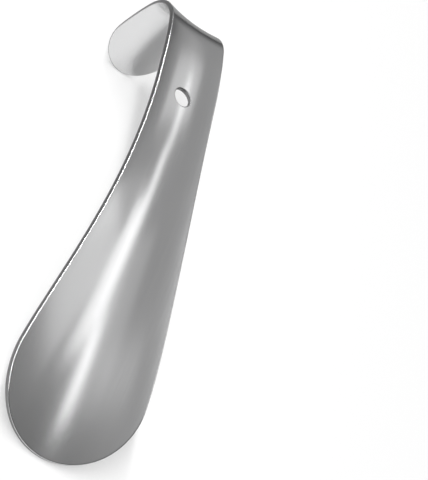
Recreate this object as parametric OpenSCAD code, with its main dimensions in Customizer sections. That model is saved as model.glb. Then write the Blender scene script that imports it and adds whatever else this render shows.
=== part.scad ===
// Shoehorn pressed from one piece of stainless steel sheet: a hollow heel blade with a round nose,
// a channel-shaped neck with a hanging hole, and a hook bent back towards the round side.
// It lies as on a table, hollow face up, resting on its nose and on the end of the hook.
// Length runs along X with the nose at -X, and the two sides mirror each other across Y = 0.
// Widths are those of the flat sheet, and distances from the nose follow its middle layer.

/* [Sheet] */
// Thickness of the steel sheet
sheet_t = 1.5; // [1:0.1:2]
// Radius of the deburred edge all round the outline
edge_r = 0.4; // [0.1:0.05:0.45]

/* [Blade] */
// Width of the blade at its widest
blade_w = 44; // [36:1:52]
// Distance from the nose to the widest place
nose_l = 22.5; // [18:0.5:30]
// Distance from the nose to where the lengthwise curve tightens
blade_l = 63; // [40:1:80]
// Turn of the blade towards the round side, in degrees
blade_drop = 9; // [0:1:12]
// Radius of the hollow across the nose
nose_hollow_r = 70; // [50:5:140]

/* [Neck] */
// Distance from the nose to the end of the taper
taper_l = 121; // [100:1:130]
// Unevenness of the taper, where 1 is an even S-curve and less narrows earlier
taper_skew = 0.7; // [0.6:0.05:1.2]
// Width where the taper ends
neck_w = 21.7; // [18:0.1:28]
// Distance from the nose to the start of the hook
straight_l = 138.8; // [132:0.2:160]
// Turn of the neck towards the round side, in degrees
neck_drop = 18.5; // [0:0.5:30]
// Radius of the channel across the neck and the end of the hook
channel_r = 28; // [22:1:40]
// Distance from the nose over which the hollow deepens to that channel
channel_l = 118; // [80:1:130]

/* [Hook] */
// Width of the hook
hook_w = 20.8; // [16:0.2:26]
// Radius of the bend, at the middle of the sheet
bend_r = 13; // [6:0.5:16]
// Turn of the bend, in degrees
bend_turn = 82.5; // [60:0.5:110]
// Radius of the hollow across the middle of the bend
bend_hollow_r = 55; // [35:5:200]
// Length of the neck that flattens towards the bend
flatten_l = 8; // [4:1:16]
// Length of the strip after the bend
return_l = 25; // [18:1:36]
// Further turn of that strip, in degrees
return_turn = 22; // [0:1:50]
// Length of the rounded end of the strip
tip_l = 12; // [6:0.5:14]

/* [Hanging hole] */
// Diameter of the hole
hole_d = 5.6; // [4:0.1:8]
// Distance from the hole's centre to the start of the hook
hole_to_hook = 23.3; // [14:0.1:32]

/* [Hidden] */
// Facets: rows along nose, taper, neck, bend, return strip and rounded end, and strips across a face
nose_rows = 14;
taper_rows = 22;
neck_rows = 6;
bend_rows = 12;
return_rows = 6;
tip_rows = 10;
strips = 14;
// Steps round each corner of the cut edge
corner_steps = 2;
// Room that the punch needs beyond each face
punch_past = 2;
// Halvings in the search for the resting slope, and the steepest slope that it tries
slope_steps = 30;
slope_limit = 80;
steel = [0.76, 0.77, 0.78];

edge_round = min(edge_r, 0.45 * sheet_t);
bend_l = bend_r * bend_turn * PI / 180;
flatten_at = straight_l - flatten_l;
bend_middle = straight_l + bend_l / 2;
bend_end = straight_l + bend_l;
sheet_l = bend_end + return_l;
tip_start = sheet_l - tip_l;
hole_at = straight_l - hole_to_hook;

// Lengthwise curve of the sheet as arcs in the XZ plane: length and turn of each
spine = [
    [blade_l, -blade_drop],
    [straight_l - blade_l, -neck_drop],
    [bend_l, -bend_turn],
    [return_l, -return_turn],
];

// Smooth step from 0 to 1
function ease(x) = (1 - cos(180 * min(max(x, 0), 1))) / 2;

// Where an arc of length l and turn a leads from a place [x, z, heading]
function arc_on(from, l, a) =
    let (
        chord = abs(a) < 0.001 ? l : l * sin(a / 2) / (a / 2 * PI / 180),
        way = from[2] + a / 2
    )
    [from[0] + chord * cos(way), from[1] + chord * sin(way), from[2] + a];

// Place [x, z, heading] on the spine at distance s from the nose
function spine_at(s, i = 0, from = [0, 0, 0]) =
    let (l = spine[i][0], a = spine[i][1])
    s <= l || i == len(spine) - 1
        ? arc_on(from, s, a * s / l)
        : spine_at(s - l, i + 1, arc_on(from, l, a));

// Half the width at distance s, between the rounded ends
function flank(s) =
    s < taper_l
        ? (blade_w + (neck_w - blade_w) * ease(pow(max(s - nose_l, 0) / (taper_l - nose_l), taper_skew))) / 2
    : s < straight_l
        ? (neck_w + (hook_w - neck_w) * (s - taper_l) / (straight_l - taper_l)) / 2
    : hook_w / 2;

// Curvature across the sheet at distance s: it grows along the blade and eases off over the bend
function channel(s) = 1 / nose_hollow_r + (1 / channel_r - 1 / nose_hollow_r) * ease(s / channel_l);
function flattening(s) =
    s < bend_middle
        ? ease((s - flatten_at) / (bend_middle - flatten_at))
        : 1 - ease((s - bend_middle) / (sheet_l - bend_middle));
function hollow(s) = channel(s) + (1 / bend_hollow_r - channel(s)) * flattening(s);

// Point of the formed sheet over flat place [s, u], lifted off the middle layer towards the hollow side
function formed(s, u, lift) =
    let (
        along = spine_at(s),
        across = arc_on([0, 0, 0], u, u * hollow(s) * 180 / PI),
        h = across[1] + lift * cos(across[2])
    )
    [along[0] - h * sin(along[2]), across[0] - lift * sin(across[2]), along[1] + h * cos(along[2])];

// One side of the flat outline as [s, u], from the nose to the end of the hook
half_outline = [
    for (i = [0:nose_rows])
        let (a = 90 * i / nose_rows)
        [nose_l * (1 - cos(a)), blade_w / 2 * sin(a)],
    for (i = [1:taper_rows])
        let (s = nose_l + (taper_l - nose_l) * i / taper_rows)
        [s, flank(s)],
    for (i = [1:neck_rows])
        let (s = taper_l + (straight_l - taper_l) * i / neck_rows)
        [s, flank(s)],
    for (i = [1:bend_rows])
        let (s = straight_l + bend_l * i / bend_rows)
        [s, flank(s)],
    for (i = [1:return_rows])
        let (s = bend_end + (tip_start - bend_end) * i / return_rows)
        [s, flank(s)],
    for (i = [1:tip_rows])
        let (a = 90 * i / tip_rows)
        [tip_start + tip_l * sin(a), hook_w / 2 * cos(a)],
];
last = len(half_outline) - 1;

// Outline point i drawn in by d, square to the outline
function drawn_in(i, d) =
    let (
        p = half_outline[i],
        before = i == 0 ? [half_outline[1][0], -half_outline[1][1]] : half_outline[i - 1],
        after = i == last ? [half_outline[last - 1][0], -half_outline[last - 1][1]] : half_outline[i + 1],
        way = after - before,
        out = [-way[1], way[0]] / norm(way)
    )
    p - d * out;

// Profile of the cut edge from the hollow face to the round face, as [drawn in, lift]
corner = [
    for (k = [0:corner_steps])
        let (a = 90 * k / corner_steps)
        [edge_round * (1 - sin(a)), sheet_t / 2 - edge_round * (1 - cos(a))],
];
edge_profile = [
    for (c = corner) c,
    for (k = [corner_steps:-1:0]) [corner[k][0], -corner[k][1]],
];
rings = len(edge_profile);

// Points: one ring of the outline for each step of the edge profile, then the inside of both faces
ring_size = 2 * last;
function ring_flat(j, e) =
    j <= last
        ? drawn_in(j, e[0])
        : let (p = drawn_in(ring_size - j, e[0])) [p[0], -p[1]];
ring_points = [
    for (e = edge_profile, j = [0:ring_size - 1])
        let (p = ring_flat(j, e))
        formed(p[0], p[1], e[1])
];
face_points = [
    for (e = [edge_profile[0], edge_profile[rings - 1]], i = [1:last - 1], j = [1:strips - 1])
        let (p = drawn_in(i, e[0]))
        formed(p[0], p[1] * (1 - 2 * j / strips), e[1])
];
sheet_points = concat(ring_points, face_points);

// Number of the point in row i and column j of face f, where 0 is the hollow face
function at(f, i, j) =
    let (ring = f * (rings - 1) * ring_size)
    i == 0 || i == last || j == 0 ? ring + i
    : j == strips ? ring + ring_size - i
    : rings * ring_size + (f * (last - 1) + i - 1) * (strips - 1) + j - 1;

// Triangles of both faces, the round face turned over, and of the cut edge
function turned(f, t) = f == 0 ? t : [t[0], t[2], t[1]];
face_triangles = [
    for (f = [0, 1], i = [0:last - 1], j = [0:strips - 1])
        each [
            if (i > 0) turned(f, [at(f, i, j), at(f, i, j + 1), at(f, i + 1, j)]),
            if (i < last - 1) turned(f, [at(f, i, j + 1), at(f, i + 1, j + 1), at(f, i + 1, j)]),
        ]
];
edge_triangles = [
    for (k = [0:rings - 2], j = [0:ring_size - 1])
        let (
            a = k * ring_size + j,
            b = k * ring_size + (j + 1) % ring_size
        )
        each [[a, b, b + ring_size], [a, b + ring_size, a + ring_size]]
];

// Slope of the blade at which the nose end and the hook touch the table together
middle_x = spine_at(straight_l)[0] / 2;
front_points = [for (p = ring_points) if (p[0] < middle_x) p];
rear_points = [for (p = ring_points) if (p[0] >= middle_x) p];
function tipped(p, slope) =
    [p[0] * cos(slope) - p[2] * sin(slope), p[1], p[0] * sin(slope) + p[2] * cos(slope)];
function lowest(points, slope) = min([for (p = points) tipped(p, slope)[2]]);
function level(low, high, steps) =
    let (slope = (low + high) / 2)
    steps == 0 ? slope
    : lowest(front_points, slope) > lowest(rear_points, slope) ? level(slope, high, steps - 1)
    : level(low, slope, steps - 1);
rest_slope = level(-slope_limit, slope_limit, slope_steps);
rest_x = [for (p = sheet_points) tipped(p, rest_slope)[0]];
rest_z = lowest(sheet_points, rest_slope);

// Lays its children on the table, with the origin under the middle of the length
module at_rest() {
    translate([-(min(rest_x) + max(rest_x)) / 2, 0, -rest_z])
        rotate([0, -rest_slope, 0])
            children();
}

module sheet() {
    polyhedron(points = sheet_points, faces = concat(face_triangles, edge_triangles));
}

module hanging_hole() {
    place = spine_at(hole_at);
    translate([place[0], 0, place[1]])
        rotate([0, -place[2], 0])
            cylinder(h = sheet_t + 2 * punch_past, d = hole_d, center = true, $fn = 48);
}

module shoehorn() {
    color(steel)
        at_rest()
            difference() {
                sheet();
                hanging_hole();
            }
}

shoehorn();
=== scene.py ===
import math

import bmesh
import bpy
import numpy as np
from mathutils import Matrix, Vector


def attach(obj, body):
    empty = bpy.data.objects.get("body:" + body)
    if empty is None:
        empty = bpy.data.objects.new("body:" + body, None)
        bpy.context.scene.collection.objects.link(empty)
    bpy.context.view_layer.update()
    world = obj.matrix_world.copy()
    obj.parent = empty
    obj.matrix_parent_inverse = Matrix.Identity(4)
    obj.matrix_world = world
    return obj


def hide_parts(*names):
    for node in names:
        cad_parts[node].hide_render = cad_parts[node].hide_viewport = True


# A shoehorn pressed from one steel sheet lies hollow face up on a white table.
# The sheet is laid out flat as places [s, u] in millimetres: s along its length from the nose, u across it.
# Each place is then formed into the hollow, the neck and the hook, and set down in the part's own frame.

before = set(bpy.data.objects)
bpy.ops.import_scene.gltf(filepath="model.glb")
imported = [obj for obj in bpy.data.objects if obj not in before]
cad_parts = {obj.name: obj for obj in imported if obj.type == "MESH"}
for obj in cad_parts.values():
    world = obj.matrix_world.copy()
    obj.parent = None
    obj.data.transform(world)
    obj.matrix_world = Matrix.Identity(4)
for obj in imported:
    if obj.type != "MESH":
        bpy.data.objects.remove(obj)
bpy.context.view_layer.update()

MM = 0.001

# Sheet
SHEET_T = 1.5
EDGE_R = 0.4

# Blade
BLADE_W = 44.0
NOSE_L = 22.5
BLADE_L = 63.0
BLADE_DROP = math.radians(9)
NOSE_HOLLOW_R = 70.0

# Neck
TAPER_L = 121.0
TAPER_SKEW = 0.7
NECK_W = 21.7
STRAIGHT_L = 138.8
NECK_DROP = math.radians(18.5)
CHANNEL_R = 28.0
CHANNEL_L = 118.0

# Hook
HOOK_W = 20.8
BEND_R = 13.0
BEND_TURN = math.radians(82.5)
BEND_HOLLOW_R = 55.0
FLATTEN_L = 8.0
RETURN_L = 25.0
RETURN_TURN = math.radians(22)
TIP_L = 12.0

# Hanging hole
HOLE_R = 2.8
HOLE_TO_HOOK = 23.3

BEND_L = BEND_R * BEND_TURN
BEND_MIDDLE = STRAIGHT_L + BEND_L / 2
FLATTEN_AT = STRAIGHT_L - FLATTEN_L
SHEET_L = STRAIGHT_L + BEND_L + RETURN_L
TIP_START = SHEET_L - TIP_L
HOLE_AT = STRAIGHT_L - HOLE_TO_HOOK

# Lengthwise curve as arcs: length and turn of each, where minus turns towards the round side
SPINE = [
    (BLADE_L, -BLADE_DROP),
    (STRAIGHT_L - BLADE_L, -NECK_DROP),
    (BEND_L, -BEND_TURN),
    (RETURN_L, -RETURN_TURN),
]

# Mesh: rows along the nose and the tip, length of a row between them, columns across, steps round a corner
NOSE_ROWS = 44
TIP_ROWS = 28
ROW_STEP = 0.7
COLUMNS = 52
CORNER_STEPS = 6

# Square patch of the mesh round the hole: half its length, cells a side, rings and how fast these grow
PATCH = 4.4
PATCH_CELLS = 22
PATCH_RINGS = 8
PATCH_GROWTH = 1.3

# Step for finding directions on the sheet, and the limit and halvings of the search for the slope at rest
NUDGE = 0.01
SLOPE_LIMIT = math.pi / 4
SLOPE_STEPS = 40

# How far the rougher cut with its painted shade reaches over the rounded corners of the hollow and the round
# side, less being further
RIM_CUT_AND_SHADE = (1.0, 0.15)
HOLE_CUT_AND_SHADE = (0.05, 0.05)

# Camera: bearing and height seen from its aim, roll, distance and aim in metres, lens and sensor in mm
CAMERA_BEARING = math.radians(144.66)
CAMERA_HEIGHT = math.radians(37.84)
CAMERA_ROLL = math.radians(58.28)
CAMERA_DISTANCE = 0.6255
CAMERA_AIM = Vector((-0.00935, -0.01625, 0.0397))
CAMERA_LENS = 171.6
SENSOR = 36.0

# Distance of the lamps from the X axis, in metres
LAMP_DISTANCE = 1.2

# Steel: sizes of its polishing marks, faint lines and smears along, across and through the sheet, in metres
MARK_SIZE = (0.018, 0.00016, 0.00016)
LINE_SIZE = (0.04, 0.0007, 0.0007)
SMEAR_SIZE = (0.03, 0.011, 0.011)
MARK_DETAIL = 3.0
LINE_DETAIL = 2.0
SMEAR_DETAIL = 2.0

# Steel: its least roughness, and what the marks, the smears and the cut edge add to it
ROUGH_LEAST = 0.12
ROUGH_MARKS = 0.07
ROUGH_SMEAR = 0.05
ROUGH_CUT = 0.3

# Steel: darkest and lightest tone of its faces, the dark tone of its cut that is painted shade along the
# rims and in the hole, and the share of cut from which that shows
STEEL_DARK = (0.578, 0.579, 0.582)
STEEL_LIGHT = (0.62, 0.621, 0.623)
CUT_PAINTED_SHADE = (0.2, 0.2, 0.202)
CUT_START = 0.8

# Steel: depth of the marks in metres, how strongly they show, and the share of the faint lines in them
MARK_DEPTH = 0.000004
MARK_STRENGTH = 0.35
LINE_SHARE = 0.8

# Paper on the table, with a painted pool of light round the object: its middle, the distances over which it
# darkens, and the share left beyond them
PAPER_MIDDLE = (-0.05, 0.035, 0.0)
PAPER_NEAR = 0.125
PAPER_FAR = 0.2
PAPER_FAR_SHARE = 0.35

# Paper: how white it is where the camera sees it and elsewhere, and its glow to the camera and in the steel
WHITE_SEEN = 0.4
WHITE_ELSEWHERE = 0.8
GLOW_SEEN = 0.49
GLOW_MIRRORED = 0.15

# Half the side of the square table, in metres
TABLE_REACH = 6.0

# Studio: its tone, its share of light at the horizon, and the height, as a part of 1, where it has all of it
STUDIO_TONE = (0.998, 0.998, 1.0)
HORIZON_SHARE = 0.2
FULL_HEIGHT = 0.5

# Studio: its light beyond the nose and towards the hook, and the direction along which it changes
NOSE_LIGHT = 0.21
HOOK_LIGHT = 0.41
HOOK_WAY = (1.0, 0.35, 0.0)
NOSE_LIGHT_ENDS = -0.45
HOOK_LIGHT_STARTS = -0.15


def ease(x):
    """Smooth step from 0 to 1."""
    return (1 - np.cos(np.pi * np.clip(x, 0, 1))) / 2


def spine_at(s):
    """Place and heading of the lengthwise curve at distance s from the nose."""
    x, z, heading, start = 0.0, 0.0, 0.0, 0.0
    for length, turn in SPINE:
        part = np.clip(s - start, 0, length)
        half = turn * part / length / 2
        chord = part * np.sinc(half / np.pi)
        x = x + chord * np.cos(heading + half)
        z = z + chord * np.sin(heading + half)
        heading = heading + 2 * half
        start += length
    return x, z, heading


def flank(s):
    """Half the width between the rounded ends."""
    taper = ease((np.clip(s - NOSE_L, 0, None) / (TAPER_L - NOSE_L)) ** TAPER_SKEW)
    neck = np.clip((s - TAPER_L) / (STRAIGHT_L - TAPER_L), 0, 1)
    return (BLADE_W + (NECK_W - BLADE_W) * taper + (HOOK_W - NECK_W) * neck) / 2


def hollow(s):
    """Curvature across the sheet: it grows along the blade and eases off over the bend."""
    channel = 1 / NOSE_HOLLOW_R + (1 / CHANNEL_R - 1 / NOSE_HOLLOW_R) * ease(s / CHANNEL_L)
    before = ease((s - FLATTEN_AT) / (BEND_MIDDLE - FLATTEN_AT))
    after = ease((s - BEND_MIDDLE) / (SHEET_L - BEND_MIDDLE))
    return channel + (1 / BEND_HOLLOW_R - channel) * (before - after)


def formed(s, u, lift):
    """Points of the formed sheet over flat places, lifted off its middle layer towards the hollow side."""
    x, z, heading = spine_at(s)
    turn = u * hollow(s)
    chord = u * np.sinc(turn / 2 / np.pi)
    y = chord * np.cos(turn / 2) - lift * np.sin(turn)
    h = chord * np.sin(turn / 2) + lift * np.cos(turn)
    return np.stack([x - h * np.sin(heading), y, z + h * np.cos(heading)], axis=-1)


def half_outline():
    """One side of the flat outline as rows of [s, u] from nose to hook, and the first row of the patch."""
    a = np.linspace(0, math.pi / 2, NOSE_ROWS + 1)
    nose = np.stack([NOSE_L * (1 - np.cos(a)), BLADE_W / 2 * np.sin(a)], axis=1)
    stops = [NOSE_L, HOLE_AT - PATCH, HOLE_AT + PATCH, TIP_START]
    blade_rows = round((stops[1] - stops[0]) / ROW_STEP)
    hook_rows = round((stops[3] - stops[2]) / ROW_STEP)
    counts = [blade_rows, PATCH_CELLS, hook_rows]
    s = np.concatenate([np.linspace(stops[k], stops[k + 1], counts[k] + 1)[1:] for k in range(3)])
    sides = np.stack([s, flank(s)], axis=1)
    a = np.linspace(0, math.pi / 2, TIP_ROWS + 1)[1:]
    tip = np.stack([TIP_START + TIP_L * np.sin(a), HOOK_W / 2 * np.cos(a)], axis=1)
    return np.concatenate([nose, sides, tip]), NOSE_ROWS + blade_rows


def unit(ways):
    """The same directions with length 1."""
    return ways / np.linalg.norm(ways, axis=1, keepdims=True)


def outward(loop):
    """Unit directions square to a closed flat outline that runs clockwise."""
    way = np.roll(loop, -1, axis=0) - np.roll(loop, 1, axis=0)
    return unit(np.stack([-way[:, 1], way[:, 0]], axis=1))


def band(first, second):
    """Cells between two closed loops with as many points."""
    size = len(first)
    return [[first[k], first[(k + 1) % size], second[(k + 1) % size], second[k]] for k in range(size)]


class FlatSheet:
    """The flat face as points and cells, with the loops that bound it and the outlines that they follow."""

    def __init__(self):
        self.points = []
        self.cells = []
        self.rims = []
        half, first = half_outline()
        rows = len(half) - 1
        outline = np.concatenate([half, half[-2:0:-1] * [1, -1]])
        out = outward(outline)
        inner = (outline - EDGE_R * out)[: rows + 1]
        number = np.full((rows + 1, COLUMNS + 1), -1)
        left = (COLUMNS - PATCH_CELLS) // 2
        patch_rows = range(first, first + PATCH_CELLS)
        patch_columns = range(left, left + PATCH_CELLS)
        for i in range(rows + 1):
            for j in range(COLUMNS + 1):
                if i in (0, rows) and j > 0:
                    number[i, j] = number[i, 0]
                elif not (i in patch_rows[1:] and j in patch_columns[1:]):
                    number[i, j] = self.add(inner[i] * [1, 1 - 2 * j / COLUMNS])
        for i in range(rows):
            for j in range(COLUMNS):
                if not (i in patch_rows and j in patch_columns):
                    corners = [number[i, j], number[i, j + 1], number[i + 1, j + 1], number[i + 1, j]]
                    self.cells.append(list(dict.fromkeys(corners)))
        edge = list(number[:, 0]) + list(number[rows - 1:0:-1, COLUMNS])
        self.rims.append((edge, outline, out, RIM_CUT_AND_SHADE))
        self.add_hole(number, first, left)

    def add(self, place):
        """Adds a point and gives its number."""
        self.points.append(place)
        return len(self.points) - 1

    def add_hole(self, number, first, left):
        """Fills the square patch with rings of cells that grow from the hole's circle to the square."""
        low, high = left, left + PATCH_CELLS
        top, end = first, first + PATCH_CELLS
        square = [number[top, j] for j in range(low, high)]
        square += [number[i, high] for i in range(top, end)]
        square += [number[end, j] for j in range(high, low, -1)]
        square += [number[i, low] for i in range(end, top, -1)]
        corners = np.array([self.points[n] for n in square])
        centre = np.array([HOLE_AT, 0.0])
        spoke = unit(corners - centre)
        start = centre + (HOLE_R + EDGE_R) * spoke
        ring = square
        for k in range(1, PATCH_RINGS + 1):
            share = (1 - k / PATCH_RINGS) ** PATCH_GROWTH
            inner = [self.add(place) for place in start + share * (corners - start)]
            self.cells += band(ring, inner)
            ring = inner
        self.rims.append((ring, centre + HOLE_R * spoke, -spoke, HOLE_CUT_AND_SHADE))


def sheet_mesh():
    """Both faces of the sheet and its rounded cut edges as one closed mesh, before it is formed.

    For each point: its flat place, its lift, the way out of the outline, how far the surface has turned
    that way, and its share of the rougher cut, which is darkened there as painted shade.
    """
    flat = FlatSheet()
    face = np.array(flat.points)
    count = len(face)
    places = [face, face]
    lifts = [np.full(count, SHEET_T / 2), np.full(count, -SHEET_T / 2)]
    outs = [np.zeros((count, 2)), np.zeros((count, 2))]
    turns = [np.zeros(count), np.zeros(count)]
    cuts = [np.zeros(count), np.zeros(count)]
    cells = flat.cells + [[n + count for n in reversed(c)] for c in flat.cells]
    total = 2 * count
    steps = [math.pi / 2 * k / CORNER_STEPS for k in range(1, CORNER_STEPS + 1)]
    profile = [(a, 1) for a in steps] + [(a, -1) for a in reversed(steps)]
    for loop, outline, out, spread in flat.rims:
        size = len(loop)
        ring = loop
        for a, side in profile:
            places.append(outline - EDGE_R * (1 - math.sin(a)) * out)
            lifts.append(np.full(size, side * (SHEET_T / 2 - EDGE_R * (1 - math.cos(a)))))
            outs.append(out)
            turns.append(np.full(size, a))
            cuts.append(np.full(size, math.sin(a) ** (spread[0] if side > 0 else spread[1])))
            following = list(range(total, total + size))
            total += size
            cells += band(ring, following)
            ring = following
        cells += band(ring, [n + count for n in loop])
    place = np.concatenate(places)
    turn, cut = np.concatenate(turns), np.concatenate(cuts)
    return place[:, 0], place[:, 1], np.concatenate(lifts), np.concatenate(outs), turn, cut, cells


def rest_slope(points):
    """Slope at which the nose end and the hook touch the table together."""
    front = points[:, 0] < spine_at(STRAIGHT_L)[0] / 2
    low, high = -SLOPE_LIMIT, SLOPE_LIMIT
    for _ in range(SLOPE_STEPS):
        slope = (low + high) / 2
        height = points[:, 0] * math.sin(slope) + points[:, 2] * math.cos(slope)
        if height[front].min() > height[~front].min():
            low = slope
        else:
            high = slope
    return slope


def add_object(name, data):
    """New object in the scene."""
    made = bpy.data.objects.new(name, data)
    bpy.context.scene.collection.objects.link(made)
    return made


def make_shoehorn():
    """The formed sheet at rest on the table, with its exact normals and what its material reads."""
    s, u, lift, out, turn, cut, cells = sheet_mesh()
    points = formed(s, u, lift)
    along = unit(formed(s + NUDGE, u, lift) - formed(s - NUDGE, u, lift))
    across = unit(formed(s, u + NUDGE, lift) - formed(s, u - NUDGE, lift))
    square = np.cross(along, across) * np.sign(lift)[:, None]
    normals = np.cos(turn)[:, None] * square
    normals += np.sin(turn)[:, None] * (out[:, :1] * along + out[:, 1:] * across)

    slope = rest_slope(points)
    rest = np.array(Matrix.Rotation(-slope, 3, "Y"))
    points = points @ rest.T
    ends = points.min(axis=0), points.max(axis=0)
    points -= [(ends[0][0] + ends[1][0]) / 2, 0, ends[0][2]]
    points *= MM
    normals = normals @ rest.T

    mesh = bpy.data.meshes.new("shoehorn_sheet")
    mesh.from_pydata(points.tolist(), [], [[int(n) for n in c] for c in cells])
    work = bmesh.new()
    work.from_mesh(mesh)
    bmesh.ops.recalc_face_normals(work, faces=work.faces)
    work.to_mesh(mesh)
    work.free()
    mesh.shade_smooth()
    mesh.normals_split_custom_set_from_vertices(normals.tolist())
    flat = np.stack([s, u, lift], axis=1) * MM
    flat_layer = mesh.attributes.new("flat_place", "FLOAT_VECTOR", "POINT")
    flat_layer.data.foreach_set("vector", flat.ravel())
    # Share of cut edge: the steel is rougher there and darkened as painted shade
    cut_and_shade_layer = mesh.attributes.new("cut_edge_and_shade", "FLOAT", "POINT")
    cut_and_shade_layer.data.foreach_set("value", cut)

    piece = add_object("shoehorn_sheet", mesh)
    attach(piece, "root")
    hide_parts("shoehorn")
    return piece


class Graph:
    """Short calls for making and joining the nodes of a material."""

    def __init__(self, tree):
        self.tree = tree
        tree.nodes.clear()

    def node(self, kind, **settings):
        made = self.tree.nodes.new(kind)
        for name, value in settings.items():
            setattr(made, name, value)
        return made

    def join(self, source, target):
        self.tree.links.new(source, target)

    def math(self, operation, first, second):
        made = self.node("ShaderNodeMath", operation=operation)
        for socket, value in zip(made.inputs, (first, second)):
            if isinstance(value, (int, float)):
                socket.default_value = value
            else:
                self.join(value, socket)
        return made.outputs[0]

    def blend(self, value, start, end, first, last):
        """Smooth step from first to last as the value goes from start to end."""
        made = self.node("ShaderNodeMapRange", interpolation_type="SMOOTHSTEP")
        for socket, number in zip(made.inputs[1:5], (start, end, first, last)):
            socket.default_value = number
        self.join(value, made.inputs["Value"])
        return made.outputs[0]

    def mix(self, share, first, second):
        """Colour between two colours, each written as three numbers or given by a socket."""
        made = self.node("ShaderNodeMix", data_type="RGBA")
        self.join(share, made.inputs["Factor"])
        for socket, colour in ((made.inputs[6], first), (made.inputs[7], second)):
            if isinstance(colour, tuple):
                socket.default_value = (*colour, 1)
            else:
                self.join(colour, socket)
        return made.outputs[2]

    def noise(self, place, sizes, detail):
        """Noise whose features have the given sizes in metres along, across and through the sheet."""
        mapping = self.node("ShaderNodeMapping")
        mapping.inputs["Scale"].default_value = [1 / size for size in sizes]
        self.join(place, mapping.inputs["Vector"])
        made = self.node("ShaderNodeTexNoise")
        made.inputs["Scale"].default_value = 1.0
        made.inputs["Detail"].default_value = detail
        self.join(mapping.outputs[0], made.inputs["Vector"])
        return made.outputs[0]


def steel_material():
    """Satin stainless steel with fine marks of polishing along the sheet, and a rougher cut edge darkened
    with painted shade.
    """
    material = bpy.data.materials.new("satin_steel")
    material.use_nodes = True
    graph = Graph(material.node_tree)
    place = graph.node("ShaderNodeAttribute", attribute_name="flat_place").outputs["Vector"]
    edge = graph.node("ShaderNodeAttribute", attribute_name="cut_edge_and_shade").outputs["Fac"]
    cut = graph.blend(edge, CUT_START, 1.0, 0.0, 1.0)
    marks = graph.noise(place, MARK_SIZE, MARK_DETAIL)
    lines = graph.noise(place, LINE_SIZE, LINE_DETAIL)
    smear = graph.noise(place, SMEAR_SIZE, SMEAR_DETAIL)

    rough = graph.math("ADD", graph.math("MULTIPLY", marks, ROUGH_MARKS), ROUGH_LEAST)
    rough = graph.math("ADD", rough, graph.math("MULTIPLY", smear, ROUGH_SMEAR))
    rough = graph.math("ADD", rough, graph.math("MULTIPLY", cut, ROUGH_CUT))

    share = graph.math("MULTIPLY", graph.math("ADD", lines, smear), 0.5)
    tone = graph.mix(share, STEEL_DARK, STEEL_LIGHT)
    # Painted shade: the cut edges are darkened to draw the dark lines along the rims and the dark wall of
    # the hole
    tone = graph.mix(cut, tone, CUT_PAINTED_SHADE)

    height = graph.math("ADD", marks, graph.math("MULTIPLY", lines, LINE_SHARE))
    bump = graph.node("ShaderNodeBump")
    bump.inputs["Strength"].default_value = MARK_STRENGTH
    bump.inputs["Distance"].default_value = MARK_DEPTH
    graph.join(height, bump.inputs["Height"])

    shader = graph.node("ShaderNodeBsdfPrincipled")
    shader.inputs["Metallic"].default_value = 1.0
    graph.join(tone, shader.inputs["Base Color"])
    graph.join(rough, shader.inputs["Roughness"])
    graph.join(bump.outputs[0], shader.inputs["Normal"])
    output = graph.node("ShaderNodeOutputMaterial")
    graph.join(shader.outputs[0], output.inputs["Surface"])
    return material


def table_material():
    """White paper. It glows to the camera, so that the shadow stays light, and darkens away from its middle
    in all other views of it, such as in the steel, as a painted pool of light round the object."""
    material = bpy.data.materials.new("white_paper")
    material.use_nodes = True
    graph = Graph(material.node_tree)
    away = graph.node("ShaderNodeVectorMath", operation="DISTANCE")
    away.inputs[1].default_value = PAPER_MIDDLE
    graph.join(graph.node("ShaderNodeNewGeometry").outputs["Position"], away.inputs[0])
    path = graph.node("ShaderNodeLightPath")
    seen = path.outputs["Is Camera Ray"]
    elsewhere = graph.math("SUBTRACT", 1.0, seen)
    mirrored = graph.math("MAXIMUM", path.outputs["Is Glossy Ray"], path.outputs["Is Transmission Ray"])
    # Painted pool of light: the paper is lighter near the object and darker away from it, for all but the
    # camera
    near = graph.blend(away.outputs["Value"], PAPER_NEAR, PAPER_FAR, 1.0, PAPER_FAR_SHARE)

    white = graph.math("MULTIPLY", graph.math("MULTIPLY", elsewhere, near), WHITE_ELSEWHERE)
    white = graph.math("ADD", white, graph.math("MULTIPLY", seen, WHITE_SEEN))
    level = graph.math("MULTIPLY", graph.math("MULTIPLY", mirrored, near), GLOW_MIRRORED)
    level = graph.math("ADD", level, graph.math("MULTIPLY", seen, GLOW_SEEN))

    paper = graph.node("ShaderNodeBsdfDiffuse")
    graph.join(white, paper.inputs["Color"])
    glow = graph.node("ShaderNodeEmission")
    graph.join(level, glow.inputs["Strength"])
    both = graph.node("ShaderNodeAddShader")
    graph.join(paper.outputs[0], both.inputs[0])
    graph.join(glow.outputs[0], both.inputs[1])
    output = graph.node("ShaderNodeOutputMaterial")
    graph.join(both.outputs[0], output.inputs["Surface"])
    return material


def make_table():
    mesh = bpy.data.meshes.new("table")
    low, high = -TABLE_REACH, TABLE_REACH
    corners = [(low, low, 0), (high, low, 0), (high, high, 0), (low, high, 0)]
    mesh.from_pydata(corners, [], [(0, 1, 2, 3)])
    table = add_object("table", mesh)
    table.data.materials.append(table_material())


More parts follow.
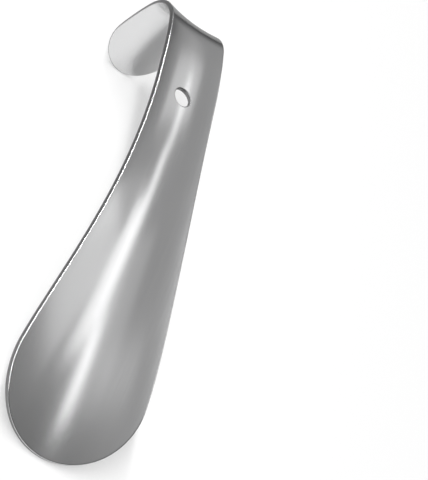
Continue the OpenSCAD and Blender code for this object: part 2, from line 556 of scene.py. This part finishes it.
def make_world():
    """Grey studio: dim near the horizon and beyond the nose, brighter overhead."""
    world = bpy.data.worlds.new("studio")
    world.use_nodes = True
    bpy.context.scene.world = world
    graph = Graph(world.node_tree)
    way = graph.node("ShaderNodeTexCoord").outputs["Generated"]
    parts = graph.node("ShaderNodeSeparateXYZ")
    graph.join(way, parts.inputs[0])
    above = graph.blend(parts.outputs["Z"], 0.0, FULL_HEIGHT, HORIZON_SHARE, 1.0)
    towards = graph.node("ShaderNodeVectorMath", operation="DOT_PRODUCT")
    graph.join(way, towards.inputs[0])
    towards.inputs[1].default_value = HOOK_WAY
    lengthwise = towards.outputs["Value"]
    ahead = graph.blend(lengthwise, NOSE_LIGHT_ENDS, HOOK_LIGHT_STARTS, NOSE_LIGHT, HOOK_LIGHT)
    back = graph.node("ShaderNodeBackground")
    back.inputs["Color"].default_value = (*STUDIO_TONE, 1)
    graph.join(graph.math("MULTIPLY", above, ahead), back.inputs["Strength"])
    output = graph.node("ShaderNodeOutputWorld")
    graph.join(back.outputs[0], output.inputs["Surface"])


def softbox(name, lean, ahead, length, width, radiance, slant=0):
    """Soft lamp over the object: lean is its angle from upright towards +Y, ahead its shift towards the
    hook, and slant turns its lower side towards the hook. Angles are in degrees, lengths in metres."""
    lean = math.radians(lean)
    back = Vector((0, math.sin(lean), math.cos(lean)))
    across = Vector((1, 0, 0))
    lamp = bpy.data.lights.new(name, "AREA")
    lamp.shape = "RECTANGLE"
    lamp.size = length
    lamp.size_y = width
    lamp.energy = radiance * math.pi * length * width
    made = add_object(name, lamp)
    turn = Matrix((across, back.cross(across), back)).transposed().to_4x4()
    turn = turn @ Matrix.Rotation(math.radians(slant), 4, "Z")
    made.matrix_world = Matrix.Translation(back * LAMP_DISTANCE + across * ahead) @ turn
    made.visible_camera = False


def make_lamps():
    # Narrow lamps that the hollow face mirrors as the bright streak along its length
    softbox("strip", lean=-29, ahead=0.26, length=0.64, width=0.113, radiance=1.3)
    softbox("strip_nose", lean=-25.2, ahead=-0.17, length=0.26, width=0.09, radiance=2.1, slant=-12)
    softbox("strip_end", lean=-26.5, ahead=0.77, length=0.4, width=0.12, radiance=1.05)
    softbox("strip_side", lean=-34.5, ahead=0.13, length=0.46, width=0.16, radiance=1.2)
    # Dim panels that lighten the face on both sides of the streak and near the hook
    softbox("side_panel", lean=-55, ahead=0.19, length=0.34, width=0.7, radiance=0.57, slant=24)
    softbox("neck_panel", lean=-52, ahead=0.37, length=0.2, width=0.6, radiance=0.2)
    softbox("shoulder", lean=-18, ahead=0.0, length=0.42, width=0.29, radiance=0.2)
    softbox("nose_panel", lean=-8, ahead=-0.2, length=0.16, width=0.4, radiance=0.3)
    softbox("end_panel", lean=-32, ahead=0.92, length=0.4, width=0.75, radiance=0.5)
    # Long lamp on the other side that lights the table and casts the shadow
    softbox("key", lean=27, ahead=-0.15, length=2.9, width=0.07, radiance=42.0)


def make_camera():
    data = bpy.data.cameras.new("camera")
    data.sensor_width = SENSOR
    data.lens = CAMERA_LENS
    camera = add_object("camera", data)
    across = Vector((math.cos(CAMERA_BEARING), math.sin(CAMERA_BEARING), 0))
    back = across * math.cos(CAMERA_HEIGHT) + Vector((0, 0, math.sin(CAMERA_HEIGHT)))
    level = Vector((-math.sin(CAMERA_BEARING), math.cos(CAMERA_BEARING), 0))
    upright = back.cross(level)
    right = level * math.cos(CAMERA_ROLL) + upright * math.sin(CAMERA_ROLL)
    turn = Matrix((right, back.cross(right), back)).transposed().to_4x4()
    camera.matrix_world = Matrix.Translation(CAMERA_AIM + back * CAMERA_DISTANCE) @ turn
    bpy.context.scene.camera = camera


make_camera()
shoehorn = make_shoehorn()
shoehorn.data.materials.append(steel_material())
make_table()
make_world()
make_lamps()
bpy.context.scene.view_settings.view_transform = "Standard"
